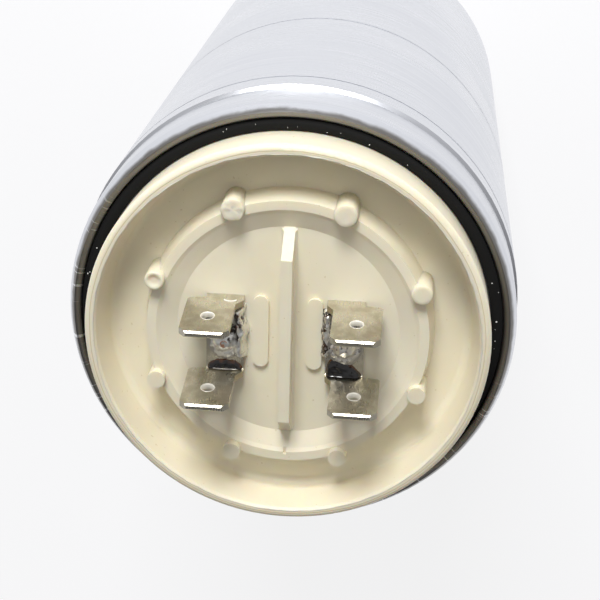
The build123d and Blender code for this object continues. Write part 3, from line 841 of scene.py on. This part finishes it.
@dataclass
class Solder(Part):
    """Solder and burnt flux on the strips."""

    smear_half: tuple = (2.4, 2.7)   # half width and half length of the smear on the strip
    smear_height: float = 1.45
    dome_half: tuple = (1.5, 1.4)
    lump_height: float = 0.11
    lip_middle: float = -8.1
    lip_half: float = 2.3
    lip_line: float = -5.3           # y of the lip's crest
    lip_width: float = 0.16
    lip_height: float = 0.82

    def ridge(self, side: Side, y_range: tuple[float, float], x_range: tuple[float, float],
              crest: float, seed: int, width: float, dome: float) -> Callable:
        """Height of a solder run along the strip's inner edge.

        Args:
            side: Which strip.
            y_range: Where the run starts and ends.
            x_range: Its edges.
            crest: Height of its crest above the recess floor.
            seed: Seed of its unevenness.
            width: How round its section is.
            dome: Height of the dome over the lead's end, above the smear.

        Returns:
            A function of x and y that gives the height.
        """
        middle = sum(x_range) / 2
        half = (x_range[1] - x_range[0]) / 2
        pool = (self.sizes.strip_middle(side), self.sizes.eyelet)

        def height(x: np.ndarray, y: np.ndarray) -> np.ndarray:
            """The higher of the run and the smear, with lumps."""
            wander = middle + 0.22 * ripple(y, y * 0, seed, 5.0)
            swell = 1 + 0.22 * ripple(y, y * 0, seed + 1, 3.0)
            across = np.clip(1 - ((x - wander) / (half * swell)) ** 2, 0, 1) ** width
            ends = smooth_step(y, y_range[0], y_range[0] + 0.9) * smooth_step(
                y, y_range[1], y_range[1] - 0.9)
            run = crest * across * np.sqrt(ends) * (0.9 + 0.1 * swell)
            reach = np.hypot((x - pool[0]) / self.smear_half[0],
                             (y - pool[1]) / self.smear_half[1])
            near = np.hypot((x - pool[0]) / self.dome_half[0],
                            (y - pool[1]) / self.dome_half[1])
            smear = self.smear_height * (reach < 1) + dome * np.clip(1 - near ** 2, 0, 1)
            spread = smear * np.clip(1.1 - reach ** 4, 0, 1) ** 0.3
            lumps = self.lump_height * ripple(x, y, seed + 2, 1.6)
            top = np.maximum(run, spread)
            return np.where(top > 0.02, top + lumps * np.clip(top * 4, 0, 1), 0)
        return height

    def flux(self, middle: float, half: float, back: float, front: float, thick: float,
             seed: int, skew: float = 0.0) -> Callable:
        """Height of a pool of flux that has run into a blade's inside bend.

        Args:
            middle: X of its middle.
            half: Half its width.
            back: Y where it meets the blade.
            front: Y of its free edge at the middle.
            thick: Its thickness.
            seed: Seed of its unevenness.
            skew: How much further it reaches at low x than at high x.

        Returns:
            A function of x and y that gives the height.
        """
        def height(x: np.ndarray, y: np.ndarray) -> np.ndarray:
            """A dome inside a curved front edge, climbing a little at the blade."""
            side = np.clip(1 - ((x - middle) / half) ** 2, 0, 1) ** 0.5
            lean = 1 - skew * (x - middle) / half
            edge = back + (front - back) * side * lean * (1 + 0.12 * ripple(x, x * 0, seed, 2.2))
            inside = np.clip((edge - y) / max(front - back, 0.1), 0, 1)
            dome = np.clip(inside * 2.2, 0, 1) ** 0.5 * (side > 0.02)
            climb = 0.55 * np.exp(-np.clip(y - back, 0, None) / 0.35)
            top = (thick + climb * thick) * dome * np.clip(side * 1.8, 0, 1)
            return top + 0.06 * ripple(x, y, seed + 3, 1.5) * dome * np.clip(side * 2, 0, 1)
        return height

    def lip(self, x: np.ndarray, y: np.ndarray) -> np.ndarray:
        """Height of the lip: round along x, a narrow bell across y."""
        along = np.clip(1 - ((x - self.lip_middle) / self.lip_half) ** 2, 0, 1)
        across = np.exp(-((y - self.lip_line) / self.lip_width) ** 2)
        return self.lip_height * np.sqrt(along) * across

    def build(self) -> None:
        """Builds the runs, the flux pools and the thin lip of solder below the left pool."""
        low = self.sizes.recess
        left = Lump("left_solder_run", (-11.0, -4.9), (-4.5, 3.84), low,
                    self.ridge(Side.LEFT, (-3.9, 3.8), (-7.0, -5.25), 2.1, 11, 0.6, 0.85)).build()
        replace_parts(self.add(left, "solder", "solder"), "left_solder")
        right = Lump("right_solder_run", (3.9, 10.2), (-4.3, 3.84), low,
                     self.ridge(Side.RIGHT, (-3.4, 3.6), (4.3, 5.75), 1.5, 23, 0.7, 1.25)).build()
        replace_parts(self.add(right, "solder_right", "solder"), "right_solder")
        top = self.sizes.strip_top
        self.add(Lump("left_burnt_flux", (-10.5, -5.7), (-5.4, -3.4), top,
                      self.flux(-8.1, 2.38, -5.4, -3.9, 0.42, 31)).build(),
                 "burnt_flux", "solder")
        self.add(Lump("left_solder_lip", (-10.45, -5.75), (-5.6, -4.9), top,
                      self.lip, step=0.04).build(),
                 "solder_right", "solder")
        self.add(Lump("right_burnt_flux", (5.1, 9.9), (-5.4, -2.0), top,
                      self.flux(7.5, 2.38, -5.4, -3.2, 0.75, 37, 0.55)).build(),
                 "burnt_flux", "solder")


@dataclass
class BladeDetails(Part):
    """Holes' sheared edges and a neck dent's rim, near white: real edges with painted highlight.
    """

    lean: float = math.radians(9.0)
    dent_middle: tuple = (-7.35, 4.62, 123.5)
    dent_reach: tuple = (0.75, -0.05, 0.3)   # half its width, its depth and its rise
    dent_half: float = 0.11
    dent_grains: int = 15

    def hole_edge_highlight(self, name: str, centre: np.ndarray) -> bpy.types.Object:
        """A thin tube that lines a hole, square to the leaning blade.

        Args:
            name: Object name.
            centre: Middle of the hole, halfway through the blade.

        Returns:
            The object.
        """
        turn = np.linspace(0, 2 * math.pi, 48, endpoint=False)
        section = np.array([[0.93, -0.42], [0.86, -0.42], [0.8, -0.3], [0.8, 0.3],
                            [0.86, 0.42], [0.93, 0.42]])
        out = np.array([0, math.cos(self.lean), math.sin(self.lean)])
        rise = np.array([0, -math.sin(self.lean), math.cos(self.lean)])
        across = np.array([1.0, 0, 0])
        angle, corner = np.meshgrid(turn, np.arange(len(section)), indexing="ij")
        radius, depth = section[corner, 0], section[corner, 1]
        points = (centre + across * (radius * np.cos(angle))[..., None]
                  + rise * (radius * np.sin(angle))[..., None] + out * depth[..., None])
        index = np.arange(angle.size).reshape(angle.shape)
        ahead, over = np.roll(index, -1, axis=0), np.roll(index, -1, axis=1)
        quads = np.stack([index, over, np.roll(ahead, -1, axis=1), ahead], -1).reshape(-1, 4)
        return mesh_object(name, points.reshape(-1, 3), quads.tolist())

    def build(self) -> None:
        """Builds the four hole edges and the dent's rim."""
        sizes = self.sizes
        height = sizes.shoulder + (sizes.blade_length - sizes.hole_from_tip) * math.cos(self.lean)
        rise = height - sizes.recess
        for side in Side:
            for end, root in (("upper", sizes.upper_root), ("lower", sizes.lower_root)):
                centre = np.array([
                    sizes.blade_middle(side),
                    root + sizes.blade_thickness / 2 / math.cos(self.lean)
                    - rise * math.tan(self.lean), height])
                # painted highlight: a near-white lining keeps each hole bright
                self.add(self.hole_edge_highlight(f"{side.name.lower()}_{end}_hole_edge_highlight", centre),
                         "sheared_edge_highlight", "tinned_brass")
        sweep = np.linspace(0.15, math.pi - 0.15, self.dent_grains)
        across, out, rise = self.dent_reach
        places = np.array(self.dent_middle) + np.stack([
            across * np.cos(sweep), out * np.sin(sweep), rise * np.sin(sweep)], -1)
        # painted highlight: near-white grains along the dent's rim
        self.add(Grains("neck_dent_highlight", places,
                        np.full((self.dent_grains, 3), self.dent_half)).build(),
                 "sheared_edge_highlight", "tinned_brass")


@dataclass
class SealDust(Part):
    """White dust on the rubber between the cap and the rolled mouth."""

    count: int = 34
    ring: tuple = (26.5, 27.5)     # inner and outer radius of the strewn ring
    below_crest: float = 0.47
    half: tuple = (0.03, 0.09)     # smallest and largest half size of a speck

    def build(self) -> None:
        """Scatters the specks by a seeded draw."""
        dice = np.random.default_rng(7)
        turn = dice.uniform(0, 2 * math.pi, self.count)
        radius = dice.uniform(*self.ring, self.count)
        places = np.stack([radius * np.cos(turn), radius * np.sin(turn),
                           np.full(self.count, self.sizes.crest - self.below_crest)], -1)
        half = (dice.uniform(*self.half, (self.count, 1))
                * dice.uniform(0.6, 1.4, (self.count, 3)))
        self.add(Grains("seal_dust", places, half).build(), "lint", "rubber_seal")


# ---------------------------------------------------------------- studio
@dataclass
class Studio:
    """Floor, soft light and camera."""

    sizes: Sizes
    lens: float = 84.22
    sensor: float = 36.0
    right: tuple = (0.99533, 0.02336, -0.09365)
    up: tuple = (-0.05812, 0.91970, -0.38829)
    ahead: tuple = (-0.07706, -0.39192, -0.91677)
    from_rim: tuple = (15.363, 75.185, 161.909)   # camera's place from the rim's front
    floor_half: float = 3.0        # in metres
    floor_colour: str = "#707074"
    floor_glow: float = 0.82       # keeps the paper-like floor pale in the can's shadow
    key_place: tuple = (-0.03, 0.42, 0.36)        # in metres
    key_size: float = 0.16         # in metres
    key_power: float = 2.25

    def floor(self) -> None:
        """A plain pale floor, wide enough to fill the view."""
        half = self.floor_half
        mesh = bpy.data.meshes.new("floor")
        mesh.from_pydata([(-half, -half, 0), (half, -half, 0), (half, half, 0),
                          (-half, half, 0)], [], [(0, 1, 2, 3)])
        made = bpy.data.objects.new("floor", mesh)
        bpy.context.scene.collection.objects.link(made)
        paint = bpy.data.materials.new("pale_floor")
        paint.use_nodes = True
        shader = paint.node_tree.nodes["Principled BSDF"]
        shader.inputs["Base Color"].default_value = to_linear(self.floor_colour)
        shader.inputs["Roughness"].default_value = 0.8
        shader.inputs["Emission Color"].default_value = to_linear("#ffffff")
        shader.inputs["Emission Strength"].default_value = self.floor_glow
        mesh.materials.append(paint)

    def world(self) -> None:
        """Soft room light: bright from behind the can's top, darker from the front."""
        world = bpy.data.worlds.new("studio")
        bpy.context.scene.world = world
        world.use_nodes = True
        tree = world.node_tree
        tree.nodes.clear()
        way = add_node(tree, "ShaderNodeTexCoord").outputs["Generated"]
        axes = add_node(tree, "ShaderNodeSeparateXYZ", {0: way})
        level = add_node(tree, "ShaderNodeMapRange", {
            "Value": axes.outputs[1], "From Min": -0.5, "From Max": 0.5, "To Min": 0.15,
            "To Max": 0.5}, interpolation_type="SMOOTHSTEP")
        back = add_node(tree, "ShaderNodeBackground", {
            "Color": to_linear("#fdfdff"), "Strength": level.outputs[0]})
        add_node(tree, "ShaderNodeOutputWorld", {"Surface": back.outputs[0]})

    def lamp(self, name: str, place: tuple, size: float, power: float) -> None:
        """A square soft light that faces the cap.

        Args:
            name: Object name.
            place: Its place, in metres.
            size: Length of its side, in metres.
            power: Its power in watts.
        """
        data = bpy.data.lights.new(name, "AREA")
        data.size = size
        data.energy = power
        made = bpy.data.objects.new(name, data)
        bpy.context.scene.collection.objects.link(made)
        made.location = place
        aim = Vector((0, 0, self.sizes.rim_front * MM)) - Vector(place)
        made.rotation_euler = aim.to_track_quat("-Z", "Y").to_euler()

    def camera(self) -> None:
        """The camera looks down on the cap from the side of the upper blades."""
        data = bpy.data.cameras.new("camera")
        data.lens, data.sensor_width = self.lens, self.sensor
        data.clip_start, data.clip_end = 0.01, 20.0
        made = bpy.data.objects.new("camera", data)
        bpy.context.scene.collection.objects.link(made)
        place = (Vector(self.from_rim) + Vector((0, 0, self.sizes.rim_front))) * MM
        turn = Matrix((Vector(self.right), Vector(self.up),
                       -Vector(self.ahead))).transposed().to_4x4()
        made.matrix_world = Matrix.Translation(place) @ turn
        bpy.context.scene.camera = made

    def build(self) -> None:
        """Sets up the whole studio."""
        bpy.context.scene.view_settings.view_transform = "Standard"
        self.floor()
        self.world()
        self.lamp("key_light", self.key_place, self.key_size, self.key_power)
        self.camera()


def main() -> None:
    """Dresses the frame, builds the added pieces and sets up the studio."""
    logging.basicConfig(level=logging.INFO, format="%(message)s")
    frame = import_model()
    sizes = Sizes.from_frame()
    finishes = Finishes()
    Frame(frame["nodes"], finishes).dress()
    for part in (CapDetails(sizes, finishes), Solder(sizes, finishes),
                 BladeDetails(sizes, finishes), SealDust(sizes, finishes)):
        part.build()
        for piece in part.pieces:
            LOG.info("%s: %d faces", piece.name, len(piece.data.polygons))
    Studio(sizes).build()
    bpy.context.view_layer.update()


if __name__ == "__main__":
    main()
